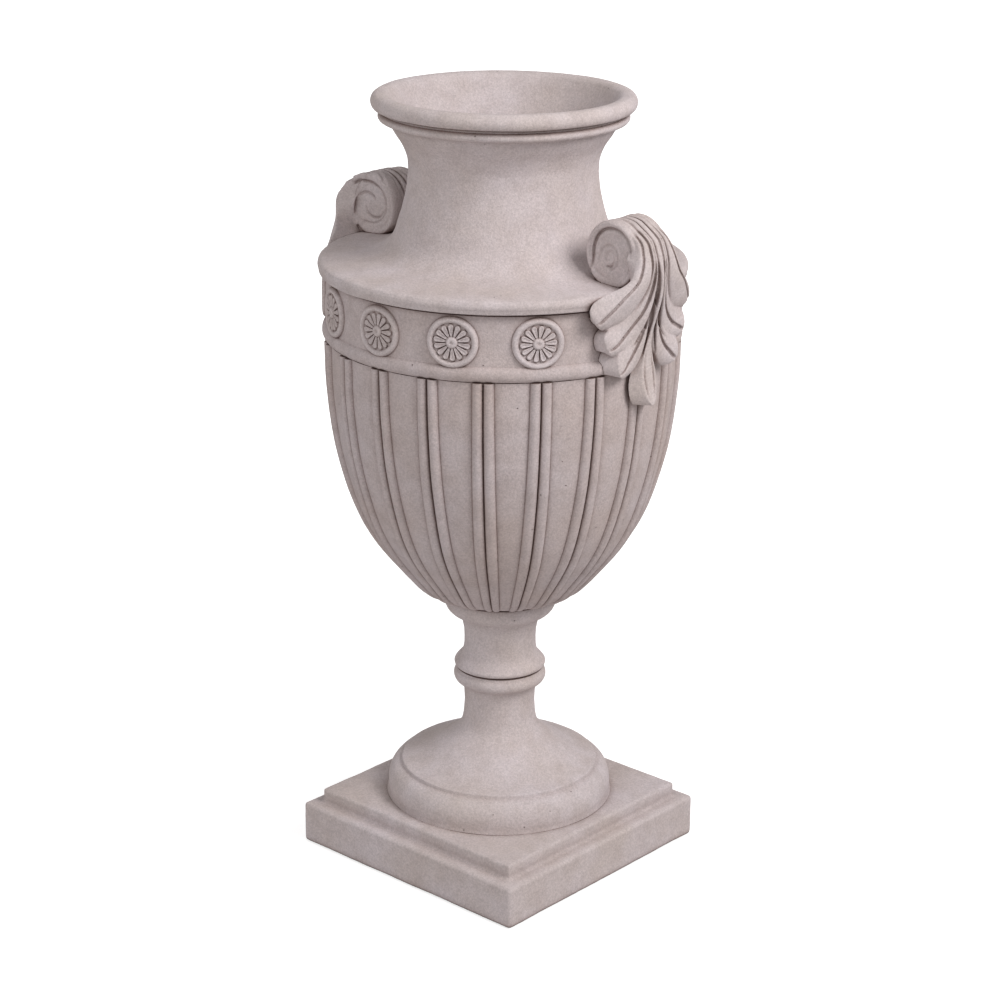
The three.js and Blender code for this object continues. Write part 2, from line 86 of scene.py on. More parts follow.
def srgb(code):
    """Linear colour of an sRGB hex value"""
    values = [int(code[i:i + 2], 16) / 255 for i in (0, 2, 4)]
    return tuple(v / 12.92 if v <= 0.04045 else ((v + 0.055) / 1.055) ** 2.4 for v in values) + (1,)


def add_node(tree, kind, links=(), **settings):
    """A node with its settings. A setting named after a socket sets it; links are (socket, source)"""
    node = tree.nodes.new(kind)
    for key, value in settings.items():
        if hasattr(node, key):
            setattr(node, key, value)
        else:
            node.inputs[key.replace("_", " ")].default_value = value
    for socket, source in links:
        tree.links.new(source, node.inputs[socket])
    return node


def new_material(name):
    material = bpy.data.materials.new(name)
    material.use_nodes = True
    tree = material.node_tree
    tree.nodes.clear()
    return material, tree


def add_world():
    """Even studio light; seen straight by the camera, or mirrored, it is white"""
    world = bpy.data.worlds.new("studio")
    bpy.context.scene.world = world
    world.use_nodes = True
    tree = world.node_tree
    tree.nodes.clear()
    path = add_node(tree, "ShaderNodeLightPath")
    seen = add_node(tree, "ShaderNodeMath", [(0, path.outputs["Is Camera Ray"]), (1, path.outputs["Is Glossy Ray"])],
                    operation="MAXIMUM")
    room = add_node(tree, "ShaderNodeBackground", Color=srgb("F3F3F4"), Strength=0.47)
    white = add_node(tree, "ShaderNodeBackground", Color=(1, 1, 1, 1), Strength=1)
    mix = add_node(tree, "ShaderNodeMixShader",
                   [(0, seen.outputs[0]), (1, room.outputs[0]), (2, white.outputs[0])])
    add_node(tree, "ShaderNodeOutputWorld", [("Surface", mix.outputs[0])])


def add_floor():
    """Matt white paper floor: it clips to white where it is fully lit and keeps a faint shadow"""
    material, tree = new_material("white_paper_floor")
    path = add_node(tree, "ShaderNodeLightPath")
    paper = add_node(tree, "ShaderNodeBsdfDiffuse", Color=srgb("D2D0CF"))
    place = add_node(tree, "ShaderNodeTexCoord").outputs["Object"]
    away = add_node(tree, "ShaderNodeVectorMath", [(0, place)], operation="LENGTH")
    lift = add_node(tree, "ShaderNodeMapRange", [(0, away.outputs["Value"])], clamp=True)
    for socket, value in ((1, 0.5), (2, 1.6), (3, 0.7), (4, 1.1)):
        lift.inputs[socket].default_value = value
    glow = add_node(tree, "ShaderNodeEmission", [("Strength", lift.outputs[0])], Color=(1, 1, 1, 1))
    both = add_node(tree, "ShaderNodeAddShader", [(0, paper.outputs[0]), (1, glow.outputs[0])])
    mix = add_node(tree, "ShaderNodeMixShader",
                   [(0, path.outputs["Is Camera Ray"]), (1, paper.outputs[0]), (2, both.outputs[0])])
    add_node(tree, "ShaderNodeOutputMaterial", [("Surface", mix.outputs[0])])
    bpy.ops.mesh.primitive_plane_add(size=24, location=(0, 0, -0.0004))
    floor = bpy.context.object
    floor.name = "floor"
    floor.data.materials.append(material)


add_camera()
add_world()
add_lamp("key", 5, 42, 2.8, 1.3, 56, (1.0, 0.99, 0.985))
add_lamp("fill", -92, 24, 3.0, 2.4, 22, (0.98, 0.99, 1.0))
add_floor()
bpy.context.scene.view_settings.view_transform = "Standard"


# ---------------------------------------------------------------- materials

def cast_stone(name, light, warm, dark, holes=1.0, seed=0.0):
    """Cast stone: fine crushed stone and cement tamped into a mould, unsealed. It reads as a matt,
    sandy, pale surface with slow pink and grey clouds and pinholes of one or two millimetres. Its
    colour also carries painted shade, darker and browner in the creases and narrow grooves."""
    material, tree = new_material(name)
    place = add_node(tree, "ShaderNodeTexCoord").outputs["Object"]
    shift = add_node(tree, "ShaderNodeMapping", [("Vector", place)])
    shift.inputs["Location"].default_value = (seed, 0.37 * seed, 0.71 * seed)
    at = shift.outputs[0]

    # Slow clouds about 90 mm across, and blotches about 22 mm across
    clouds = add_node(tree, "ShaderNodeTexNoise", [("Vector", at)], Scale=11, Detail=3, Roughness=0.55)
    cloud_mix = add_node(tree, "ShaderNodeMapRange", [(0, clouds.outputs[0])], clamp=True)
    cloud_mix.inputs[1].default_value = 0.35
    cloud_mix.inputs[2].default_value = 0.68
    tint = add_node(tree, "ShaderNodeMix", [(0, cloud_mix.outputs[0])], data_type="RGBA")
    tint.inputs[6].default_value = srgb(light)
    tint.inputs[7].default_value = srgb(warm)
    blotch = add_node(tree, "ShaderNodeTexNoise", [("Vector", at)], Scale=46, Detail=4, Roughness=0.6)
    blotch_mix = add_node(tree, "ShaderNodeMapRange", [(0, blotch.outputs[0])], clamp=True)
    for socket, value in ((1, 0.42), (2, 0.75), (3, 0.0), (4, 0.4)):
        blotch_mix.inputs[socket].default_value = value
    tone = add_node(tree, "ShaderNodeMix", [(0, blotch_mix.outputs[0]), (6, tint.outputs[2])], data_type="RGBA")
    tone.inputs[7].default_value = srgb(dark)

    # Sand grains: 1.3 mm, as coarse as the picture shows
    sand = add_node(tree, "ShaderNodeTexNoise", [("Vector", at)], Scale=760, Detail=2, Roughness=0.7)
    grain = add_node(tree, "ShaderNodeMapRange", [(0, sand.outputs[0])], clamp=True)
    for socket, value in ((1, 0.3), (2, 0.7), (3, 0.86), (4, 1.1)):
        grain.inputs[socket].default_value = value
    fine_sand = add_node(tree, "ShaderNodeMix", [(6, tone.outputs[2]), (7, grain.outputs[0])],
                         data_type="RGBA", blend_type="MULTIPLY")
    fine_sand.inputs[0].default_value = 0.6
    grit = add_node(tree, "ShaderNodeTexNoise", [("Vector", at)], Scale=380, Detail=1, Roughness=0.6)
    spots = add_node(tree, "ShaderNodeMapRange", [(0, grit.outputs[0])], clamp=True)
    for socket, value in ((1, 0.32), (2, 0.68), (3, 0.84), (4, 1.1)):
        spots.inputs[socket].default_value = value
    sandy = add_node(tree, "ShaderNodeMix", [(6, fine_sand.outputs[2]), (7, spots.outputs[0])],
                     data_type="RGBA", blend_type="MULTIPLY")
    sandy.inputs[0].default_value = 0.6

    # Pinholes: one cell of about 13 mm in six holds a hole of about 1.5 mm
    cells = add_node(tree, "ShaderNodeTexVoronoi", [("Vector", at)], Scale=75, Randomness=1.0)
    near = add_node(tree, "ShaderNodeMapRange", [(0, cells.outputs["Distance"])], clamp=True)
    for socket, value in ((1, 0.03), (2, 0.075), (3, 1.0), (4, 0.0)):
        near.inputs[socket].default_value = value
    split = add_node(tree, "ShaderNodeSeparateColor", [(0, cells.outputs["Color"])])
    chosen = add_node(tree, "ShaderNodeMath", [(0, split.outputs[0])], operation="LESS_THAN")
    chosen.inputs[1].default_value = 0.17 * holes
    hole = add_node(tree, "ShaderNodeMath", [(0, near.outputs[0]), (1, chosen.outputs[0])], operation="MULTIPLY")
    pitted = add_node(tree, "ShaderNodeMix", [(0, hole.outputs[0]), (6, sandy.outputs[2])], data_type="RGBA")
    pitted.inputs[7].default_value = srgb("7C6D68")

    # Painted shade: the creases are darkened and browned over about 9 mm, by ambient occlusion
    crease = add_node(tree, "ShaderNodeAmbientOcclusion", samples=8, Distance=0.011)
    painted_crease_shade = add_node(tree, "ShaderNodeMapRange", [(0, crease.outputs["AO"])], clamp=True)
    for socket, value in ((1, 0.25), (2, 0.95), (3, 0.75), (4, 0.0)):
        painted_crease_shade.inputs[socket].default_value = value
    crease_shaded = add_node(tree, "ShaderNodeMix", [(0, painted_crease_shade.outputs[0]), (6, pitted.outputs[2])], data_type="RGBA",
                       blend_type="MULTIPLY")
    crease_shaded.inputs[7].default_value = srgb("9B8378")

    # Painted shade: the narrow grooves are darkened and browned within 3 mm, by ambient occlusion
    groove = add_node(tree, "ShaderNodeAmbientOcclusion", samples=8, Distance=0.0035)
    painted_groove_shade = add_node(tree, "ShaderNodeMapRange", [(0, groove.outputs["AO"])], clamp=True)
    for socket, value in ((1, 0.35), (2, 0.82), (3, 0.8), (4, 0.0)):
        painted_groove_shade.inputs[socket].default_value = value
    groove_shaded = add_node(tree, "ShaderNodeMix", [(0, painted_groove_shade.outputs[0]), (6, crease_shaded.outputs[2])], data_type="RGBA",
                     blend_type="MULTIPLY")
    groove_shaded.inputs[7].default_value = srgb("8A7268")

    # Relief: grains 0.15 mm, soft tooling 0.3 mm, pinholes 0.8 mm deep
    tooling = add_node(tree, "ShaderNodeTexNoise", [("Vector", at)], Scale=170, Detail=3, Roughness=0.6)
    low = add_node(tree, "ShaderNodeMath", [(0, tooling.outputs[0])], operation="MULTIPLY")
    low.inputs[1].default_value = 0.0005
    fine = add_node(tree, "ShaderNodeMath", [(0, sand.outputs[0]), (2, low.outputs[0])], operation="MULTIPLY_ADD")
    fine.inputs[1].default_value = 0.0004
    deep = add_node(tree, "ShaderNodeMath", [(0, hole.outputs[0]), (2, fine.outputs[0])], operation="MULTIPLY_ADD")
    deep.inputs[1].default_value = -0.0010
    bump = add_node(tree, "ShaderNodeBump", [("Height", deep.outputs[0])], Strength=1.0, Distance=1.0)
    matt = add_node(tree, "ShaderNodeMapRange", [(0, sand.outputs[0])], clamp=True)
    for socket, value in ((3, 0.86), (4, 0.98)):
        matt.inputs[socket].default_value = value
    # The base colour carries the painted shade of the creases and grooves
    skin = add_node(tree, "ShaderNodeBsdfPrincipled",
                    [("Base Color", groove_shaded.outputs[2]), ("Roughness", matt.outputs[0]), ("Normal", bump.outputs[0])],
                    IOR=1.5)
    skin.inputs["Specular IOR Level"].default_value = 0.25
    add_node(tree, "ShaderNodeOutputMaterial", [("Surface", skin.outputs[0])])
    return material


def bedding_mortar():
    """Lime and cement mortar, struck flush: a rough grey-brown with sand of about a millimetre"""
    material, tree = new_material("bedding_mortar")
    at = add_node(tree, "ShaderNodeTexCoord").outputs["Object"]
    sand = add_node(tree, "ShaderNodeTexNoise", [("Vector", at)], Scale=900, Detail=3, Roughness=0.7)
    tone = add_node(tree, "ShaderNodeMix", [(0, sand.outputs[0])], data_type="RGBA")
    tone.inputs[6].default_value = srgb("5F5550")
    tone.inputs[7].default_value = srgb("8D817A")
    rough = add_node(tree, "ShaderNodeMath", [(0, sand.outputs[0])], operation="MULTIPLY")
    rough.inputs[1].default_value = 0.0006
    bump = add_node(tree, "ShaderNodeBump", [("Height", rough.outputs[0])], Distance=1.0)
    skin = add_node(tree, "ShaderNodeBsdfPrincipled",
                    [("Base Color", tone.outputs[2]), ("Normal", bump.outputs[0])], Roughness=0.95)
    add_node(tree, "ShaderNodeOutputMaterial", [("Surface", skin.outputs[0])])
    return material


def brushed_stainless():
    """Stainless steel bar, turned and wire brushed: grey, with fine rings and a soft sheen"""
    material, tree = new_material("brushed_stainless")
    at = add_node(tree, "ShaderNodeTexCoord").outputs["Object"]
    stretch = add_node(tree, "ShaderNodeMapping", [("Vector", at)], Scale=(60, 60, 2400))
    brush = add_node(tree, "ShaderNodeTexNoise", [("Vector", stretch.outputs[0])], Scale=1, Detail=2)
    rough = add_node(tree, "ShaderNodeMapRange", [(0, brush.outputs[0])])
    for socket, value in ((3, 0.28), (4, 0.5)):
        rough.inputs[socket].default_value = value
    height = add_node(tree, "ShaderNodeMath", [(0, brush.outputs[0])], operation="MULTIPLY")
    height.inputs[1].default_value = 0.00003
    bump = add_node(tree, "ShaderNodeBump", [("Height", height.outputs[0])], Distance=1.0)
    skin = add_node(tree, "ShaderNodeBsdfPrincipled",
                    [("Roughness", rough.outputs[0]), ("Normal", bump.outputs[0])], Metallic=1.0)
    skin.inputs["Base Color"].default_value = srgb("B9BABB")
    add_node(tree, "ShaderNodeOutputMaterial", [("Surface", skin.outputs[0])])
    return material


STONE = cast_stone("cast_stone", "CABFC0", "C3B6B2", "AB9D99", holes=0.6)
STONE_BOWL = cast_stone("cast_stone_bowl", "C1B5B5", "BBACA8", "A0918C", holes=1.4, seed=3.1)
MORTAR = bedding_mortar()
STEEL = brushed_stainless()


# ---------------------------------------------------------------- shaping

def deselect():
    for thing in bpy.context.selected_objects:
        thing.select_set(False)


def edit(piece):
    deselect()
    bpy.context.view_layer.objects.active = piece
    piece.select_set(True)
    bpy.ops.object.mode_set(mode="EDIT")
    bpy.ops.mesh.select_all(action="SELECT")


def leave_edit():
    bpy.ops.object.mode_set(mode="OBJECT")


def corners_of(piece):
    flat = np.empty(3 * len(piece.data.vertices))
    piece.data.vertices.foreach_get("co", flat)
    return flat.reshape(-1, 3)


def move_corners(piece, points):
    piece.data.vertices.foreach_set("co", np.ascontiguousarray(points, float).ravel())
    piece.data.update()


def close_up(piece):
    """Merges doubles and turns the faces outwards"""
    edit(piece)
    bpy.ops.mesh.remove_doubles(threshold=0.00002)
    bpy.ops.mesh.select_all(action="SELECT")
    bpy.ops.mesh.normals_make_consistent(inside=False)
    leave_edit()


def turned(name, outline, steps):
    """A circle's corners are set on the outline of radius and height, and spun about Z"""
    bpy.ops.mesh.primitive_circle_add(vertices=len(outline), radius=0.1, location=(0, 0, 0))
    piece = bpy.context.object
    piece.name = name
    move_corners(piece, [(r * MM, 0, z * MM) for r, z in outline])
    edit(piece)
    bpy.ops.mesh.spin(steps=steps, angle=2 * math.pi, center=(0, 0, 0), axis=(0, 0, 1), dupli=False)
    leave_edit()
    close_up(piece)
    return piece


def lofted(name, loops):
    """A grid's corners are set on the loops, its seam is merged and its two ends are filled"""
    count, size = len(loops), len(loops[0])
    bpy.ops.mesh.primitive_grid_add(x_subdivisions=size, y_subdivisions=count - 1, size=1, location=(0, 0, 0))
    piece = bpy.context.object
    piece.name = name
    points = np.array([list(loop) + [loop[0]] for loop in loops], float).reshape(-1, 3)
    move_corners(piece, points * MM)
    edit(piece)
    bpy.ops.mesh.remove_doubles(threshold=0.00001)
    bpy.ops.mesh.select_all(action="DESELECT")
    bpy.ops.mesh.select_mode(type="EDGE")
    bpy.ops.mesh.select_non_manifold(extend=False)
    bpy.ops.mesh.fill_holes(sides=0)
    bpy.ops.mesh.select_mode(type="VERT")
    bpy.ops.mesh.select_all(action="SELECT")
    bpy.ops.mesh.normals_make_consistent(inside=False)
    leave_edit()
    return piece


def apply_modifier(piece, kind, **settings):
    deselect()
    bpy.context.view_layer.objects.active = piece
    piece.select_set(True)
    modifier = piece.modifiers.new(kind.lower(), kind)
    for key, value in settings.items():
        setattr(modifier, key, value)
    bpy.ops.object.modifier_apply(modifier=modifier.name)


def cut(piece, cutter):
    apply_modifier(piece, "BOOLEAN", operation="DIFFERENCE", solver="EXACT", object=cutter)
    bpy.data.objects.remove(cutter)


def join(pieces):
    deselect()
    for piece in pieces:
        piece.select_set(True)
    bpy.context.view_layer.objects.active = pieces[0]
    bpy.ops.object.join()
    return pieces[0]


def smooth(piece, degrees=None):
    deselect()
    bpy.context.view_layer.objects.active = piece
    piece.select_set(True)
    if degrees is None:
        bpy.ops.object.shade_smooth()
    else:
        bpy.ops.object.shade_smooth_by_angle(angle=math.radians(degrees))


def weathered(piece, seed, slow=0.3, quick=0.12):
    """Hand tooling and wear: the surface wanders a few tenths of a millimetre"""
    points = corners_of(piece)
    flat = np.empty(3 * len(points))
    piece.data.vertices.foreach_get("normal", flat)
    normals = flat.reshape(-1, 3)
    lift = np.empty(len(points))
    for i, point in enumerate(points):
        at = Vector(point)
        wander = noise.noise(at * 22 + Vector((seed, 0, 0)))
        tooling = noise.noise(at * 110 + Vector((0, seed, 0)))
        lift[i] = slow * wander + quick * tooling
    move_corners(piece, points + normals * (lift * MM)[:, None])


GROOVE_REACH = 5  # a groove moves nothing further away than this, in millimetres


def carved(piece, runs):
    """Cuts fine grooves into a surface; a run is a list of (x, y, z, depth, half width) in millimetres"""
    rows = []
    for run in runs:
        for start, end in zip(np.array(run), np.array(run[1:])):
            count = max(1, int(np.linalg.norm((end - start)[:3]) / 0.4))
            rows += [start + (end - start) * k / count for k in range(count)]
    tree = kdtree.KDTree(len(rows))
    for i, row in enumerate(rows):
        tree.insert(row[:3], i)
    tree.balance()
    points = corners_of(piece) / MM
    flat = np.empty(3 * len(points))
    piece.data.vertices.foreach_get("normal", flat)
    normals = flat.reshape(-1, 3)
    sunk = np.zeros(len(points))
    for i, point in enumerate(points):
        _, nearest, reach = tree.find(point)
        if reach < GROOVE_REACH:
            offset = point - rows[nearest][:3]
            aside = max(0, offset @ offset - (offset @ normals[i]) ** 2)
            sunk[i] = rows[nearest][3] * math.exp(-aside / rows[nearest][4] ** 2)
    move_corners(piece, (points - normals * sunk[:, None]) * MM)


def dress(piece, material, slot, *nodes):
    piece.data.materials.clear()
    piece.data.materials.append(material)
    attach(piece, "root")
    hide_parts(*nodes)


def spline(pairs, count):
    """Smooth line through the points, evenly spread over their spans"""
    points = np.array(pairs, float)
    padded = np.vstack([2 * points[0] - points[1], points, 2 * points[-1] - points[-2]])
    out = []
    for i in range(count + 1):
        t = i / count * (len(points) - 1)
        k = min(int(t), len(points) - 2)
        u = t - k
        a, b, c, d = padded[k:k + 4]
        out.append(0.5 * (2 * b + (c - a) * u + (2 * a - 5 * b + 4 * c - d) * u * u
                          + (3 * b - a - 3 * c + d) * u ** 3))
    return [tuple(point) for point in out]


def arc(centre_r, centre_z, radius_r, radius_z, start, end, count):
    out = []
    for i in range(count + 1):
        a = math.radians(start + (end - start) * i / count)
        out.append((centre_r + radius_r * math.cos(a), centre_z + radius_z * math.sin(a)))
    return out


def raised(outline, level):
    return [(r, z + level) for r, z in outline]


# ---------------------------------------------------------------- sizes of the urn

PLINTH_W, PLINTH_STEP, SLAB_H, PLINTH_TOP = 330, 16.5, 50, 67.5
STEM_Z, STEM_H = 69.7, 246.3
BOWL_Z, REED_Z, BAND_H = 318.2, 308, 73.4
BEAD_Z = BOWL_Z + REED_Z
BOWL_TOP = BEAD_Z + BAND_H
NECK_Z = BOWL_TOP + 2.2
RIM_Z = 900
BOWL_R, SHOULDER_R, NECK_R, RIM_R = 196.5, 206.3, 105, 146.3
FOOT_R, STEM_R, COLLAR_R = 131.7, 41, 65
BORE_R = 9
SEAT_R = 175.5
ROLL_X, ROLL_Z, ROLL_HALF = 177, 752, 27.5


# ---------------------------------------------------------------- plinth

def slab(name, half, low, high, radius):
    """A block with rounded arrises"""
    bpy.ops.mesh.primitive_cube_add(size=1, location=(0, 0, (low + high) / 2 * MM),
                                    scale=(2 * half * MM, 2 * half * MM, (high - low) * MM))
    block = bpy.context.object
    block.name = name
    deselect()
    block.select_set(True)
    bpy.context.view_layer.objects.active = block
    bpy.ops.object.transform_apply(location=True, rotation=True, scale=True)
    edit(block)
    bpy.ops.mesh.bevel(offset=radius * MM, segments=6, profile=0.5, affect="EDGES")
    leave_edit()
    return block


def make_plinth():
    lower = slab("plinth_stone", PLINTH_W / 2, 0, SLAB_H, 3.6)
    upper = slab("plinth_upper", PLINTH_W / 2 - PLINTH_STEP, SLAB_H - 12, PLINTH_TOP, 2.4)
    apply_modifier(lower, "BOOLEAN", operation="UNION", solver="EXACT", object=upper)
    bpy.data.objects.remove(upper)
    cut(lower, turned("bore", [(0, -5), (24, -5), (24, 24), (BORE_R, 24), (BORE_R, 90), (0, 90)], 48))
    apply_modifier(lower, "REMESH", mode="VOXEL", voxel_size=0.0022, use_smooth_shade=True)
    apply_modifier(lower, "SMOOTH", factor=0.5, iterations=1)
    weathered(lower, 11, slow=0.5, quick=0.2)
    smooth(lower)
    dress(lower, STONE, "cast_stone", "plinth")


# ---------------------------------------------------------------- stem

def stem_outline():
    top = FOOT_R - 17
    knop = [(11.6, 158.4), (12.3, 160.6), (11.7, 163), (7, 168.6), (3, 173.5), (1, 182), (0.7, 192)]
    sweep = [(1, 39.2), (0.8, 43.8), (0.58, 52), (0.38, 62.5), (0.2, 72), (0.08, 80.5), (0.025, 92), (0, 112)]
    return raised(
        [(FOOT_R - 12.6, 0), (FOOT_R - 12.4, -1.9), (FOOT_R + 1.6, -1.9), (FOOT_R + 0.4, 0.4), (FOOT_R - 0.1, 2.6),
         (FOOT_R - 0.1, 5.5), (FOOT_R, 10.5)]
        + arc(FOOT_R - 17, 10.5, 17, 24, 8, 84, 12)
        + [(top + 0.9, 34.9), (top + 0.5, 35.3), (top + 0.4, 38.0), (top + 0.2, 38.6), (top - 0.6, 39.1)]
        + spline([(STEM_R + part * (top - 1 - STEM_R), z) for part, z in sweep], 30)
        + [(STEM_R + 0.9, 127), (STEM_R + 3.2, 133.6), (STEM_R + 4.2, 135.0), (STEM_R + 5.6, 136.0),
           (STEM_R + 7.0, 136.9)]
        + arc(STEM_R + 4, 146, 9, 9.6, -62, 52, 12)
        + [(STEM_R + 9.6, 155.0), (STEM_R + 7.4, 156.2), (STEM_R + 9.8, 157.2)]
        + spline([(STEM_R + r, z) for r, z in knop], 20)
        + [(STEM_R + 1.2, 203), (STEM_R + 3.2, 212.5), (STEM_R + 6.4, 219.6), (STEM_R + 9, 222.2)]
        + arc(COLLAR_R - 16, STEM_H - 6, 16, 17.5, -68, 0, 12)
        + arc(COLLAR_R - 1.5, STEM_H - 1.5, 1.5, 1.5, 0, 80, 4),
        STEM_Z)


def make_stem():
    outline = stem_outline() + [(BORE_R, STEM_Z + STEM_H), (BORE_R, STEM_Z)]
    stem = turned("stem_stone", outline, 160)
    weathered(stem, 23)
    smooth(stem, 50)
    dress(stem, STONE, "cast_stone", "stem")


# ---------------------------------------------------------------- bowl

REED_PAIRS = 20
REED_H = 4.8
REED_HALF = 3.45  # degrees from the middle of a pair to its outer edge
REED_STEPS = 11  # across one reed
PANEL_STEPS = 9  # across a panel


def reed_height(share):
    """A round reed with a sharp, deep groove at both sides"""
    return 1.12 * math.sin(math.pi * share) ** 0.55 - 0.12


def spread_reeds(degrees, level):
    """The pairs keep their width as the bowl narrows, so they fill more of the pitch lower down"""
    pitch = 360 / REED_PAIRS
    wider = 1 + 0.6 * np.clip(1 - (level - BOWL_Z) / REED_Z, 0, 1) ** 1.6
    panel = (pitch - 2 * REED_HALF * wider) / (pitch - 2 * REED_HALF)
    low = degrees * wider
    middle = REED_HALF * wider + (degrees - REED_HALF) * panel
    high = pitch - (pitch - degrees) * wider
    return np.where(degrees <= REED_HALF, low, np.where(degrees <= pitch - REED_HALF, middle, high))


def reed_places():
    """Angle in degrees and height, 0 to 1, of the steps across one pitch, from the middle of a pair"""
    places = []
    for k in range(REED_STEPS + 1):
        u = k / REED_STEPS
        places.append((u * REED_HALF, reed_height(u)))
    panel = 360 / REED_PAIRS - 2 * REED_HALF
    for k in range(1, PANEL_STEPS):
        u = k / PANEL_STEPS
        places.append((REED_HALF + u * panel, 0.16 * math.sin(math.pi * u) ** 0.7))
    for k in range(REED_STEPS):
        u = k / REED_STEPS
        places.append((REED_HALF + panel + u * REED_HALF, reed_height(u)))
    return places


def bowl_curve(count):
    shape = [(0.335, 0), (0.45, 0.03), (0.553, 0.093), (0.733, 0.24), (0.848, 0.385), (0.944, 0.6), (0.99, 0.82),
             (1, 1)]
    return spline([(r * BOWL_R, BOWL_Z + z * REED_Z) for r, z in shape], count)


def make_bowl():
    outside = (
        bowl_curve(46)
        + [(BOWL_R - 3, BEAD_Z + 0.8)]
        + arc(BOWL_R - 2.3, BEAD_Z + 9.5, 8, 9.5, -68, 62, 12)
        + [(BOWL_R + 1.4, BEAD_Z + 18.8), (BOWL_R + 1.1, BEAD_Z + 20.5), (BOWL_R + 0.8, BEAD_Z + 45),
           (BOWL_R + 0.4, BOWL_TOP - 1), (BOWL_R - 0.8, BOWL_TOP)])
    inside = [(SEAT_R, BOWL_TOP), (SEAT_R, BOWL_TOP - 17)]
    inside += [(r - 24, z + 12) for r, z in bowl_curve(18)[2:][::-1]]
    inside += [(38, BOWL_Z + 27), (BORE_R, BOWL_Z + 27), (BORE_R, BOWL_Z)]
    places = reed_places()
    steps = REED_PAIRS * len(places)
    bowl = turned("bowl_stone", outside + inside, steps)
    points = corners_of(bowl)
    radius = np.hypot(points[:, 0], points[:, 1])
    turn = np.arctan2(points[:, 1], points[:, 0]) % (2 * math.pi)
    step = np.rint(turn / (2 * math.pi) * steps).astype(int) % steps
    degrees = np.array([place[0] for place in places])[step % len(places)]
    height = np.array([place[1] for place in places])[step % len(places)]
    z = points[:, 2] / MM
    on_reeds = (z > BOWL_Z - 0.5) & (z < BEAD_Z + 0.5)
    degrees = np.where(on_reeds, spread_reeds(degrees, z), degrees)
    angle = np.radians(step // len(places) * 360 / REED_PAIRS + degrees)
    skin = np.interp(z, *zip(*[(level, r) for r, level in bowl_curve(46)]))
    on_skin = (z > BOWL_Z + 0.5) & (z < BEAD_Z + 0.5) & (np.abs(radius / MM - skin) < 1.5)
    full = np.clip((z - BOWL_Z) / 4, 0, 1) * (0.62 + 0.38 * radius / (BOWL_R * MM))
    radius = radius + np.where(on_skin, height * REED_H * full, 0) * MM
    move_corners(bowl, np.column_stack([radius * np.cos(angle), radius * np.sin(angle), points[:, 2]]))
    close_up(bowl)
    weathered(bowl, 37)
    smooth(bowl, 42)
    dress(bowl, STONE_BOWL, "cast_stone_bowl", "bowl")


# ---------------------------------------------------------------- rosettes

ROSETTES_PER_SIDE, ROSETTE_SPACING = 5, 26.4
ROSETTE_Z = BEAD_Z + 0.59 * BAND_H
PETALS = 14
PETAL_STEPS = 16
ROSETTE_SCALE = 1.065


def rosette_relief(radius, turn):
    """Height over the band of the rosette's face, at a radius in millimetres and a turn in radians"""
    ring = 4.7 - 0.2 * abs(radius - 22.9) ** 2.2
    if radius > 20.2:
        return ring
    field = 1.7 + 1.5 * max(0, (radius - 19.3) / 0.9)
    if radius < 5.4:
        dome = 0.9 * math.sqrt(max(0, 1 - (radius / 5.4) ** 2))
        dimple = 1.4 * max(0, 1 - (radius / 2.2) ** 2)
        return 4.4 + dome - dimple - max(0, radius - 4.6)
    across = abs((turn * PETALS / (2 * math.pi)) % 1 - 0.5) / 0.42
    end = max(0, (radius - 15.6) / 3.3)
    edge = math.sqrt(across ** 2 + end ** 2)
    body = min(1, max(0, (1 - edge) / 0.2)) ** 0.6 * min(1, max(0, (radius - 5.6) / 0.9))
    hollow = 0.8 * max(0, 1 - (across / 0.6) ** 2) * min(1, max(0, (radius - 7.6) / 2)) * max(0, 1 - end)
    return field + body * (1.6 + 0.8 * (radius - 6) / 12 - hollow)


def make_rosette(index, degrees):
    rings = [0, 1.2, 2.4, 3.4, 4.0, 4.6, 5.3, 6.2, 7.4, 8.8, 10.2, 11.6, 13, 14.2, 15.2, 16, 16.7, 17.3, 17.8,
             18.5, 19.3, 19.8, 20.3, 21, 22, 23, 24, 24.8, 25.4, 25.9, 26.3]
    outline = [(r * ROSETTE_SCALE, 10 - i * 0.001) for i, r in enumerate(rings)]
    outline += [(26.6 * ROSETTE_SCALE, -1.5), (0, -1.5)]
    rosette = turned(f"rosette_stone_{index:02d}", outline, PETALS * PETAL_STEPS)
    points = corners_of(rosette) / MM
    out = np.empty_like(points)
    for i, (x, y, z) in enumerate(points):
        radius, turn = math.hypot(x, y), math.atan2(y, x) + 0.21 * index
        proud = rosette_relief(radius / ROSETTE_SCALE, turn) if z > 5 else z
        # The flat rosette lies against the round band, turned to face outwards
        angle = math.radians(degrees) + x / (BOWL_R + 0.8)
        reach = BOWL_R + 0.8 + proud
        out[i] = (reach * math.cos(angle), reach * math.sin(angle), ROSETTE_Z + y)
    move_corners(rosette, out * MM)
    close_up(rosette)
    weathered(rosette, 50 + index, slow=0.2, quick=0.15)
    smooth(rosette, 70)
    dress(rosette, STONE, "cast_stone", f"rosette_{index:02d}")


# ---------------------------------------------------------------- neck

